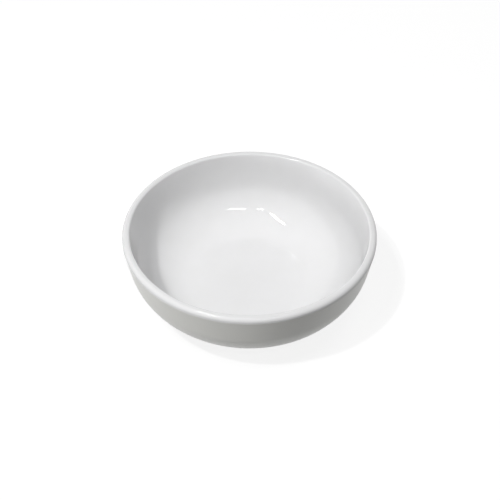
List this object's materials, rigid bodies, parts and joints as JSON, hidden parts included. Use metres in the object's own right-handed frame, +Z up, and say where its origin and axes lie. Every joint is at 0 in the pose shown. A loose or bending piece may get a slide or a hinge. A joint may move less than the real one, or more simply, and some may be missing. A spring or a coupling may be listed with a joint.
{
  "type": "melamine bowl",
  "caption": "Low round white melamine bowl with a steep, slightly flared wall, wide rounded corner, flat floor, rounded rim and a foot ring, glazed on its food side.",
  "frame": {"origin": "centre of the foot ring, on the plane that it stands on", "axes": "+Z up along the bowl's axis of revolution, X and Y alike"},
  "size_m": [0.12, 0.12, 0.04],
  "materials": {
    "melamine_moulding": "white melamine, compression moulded, satin to half gloss",
    "melamine_glaze": "melamine glaze over white, polished high gloss"
  },
  "bodies": {
    "root": {"bowl_body": "melamine_moulding", "glaze_coat": "melamine_glaze"}
  },
  "joints": []
}
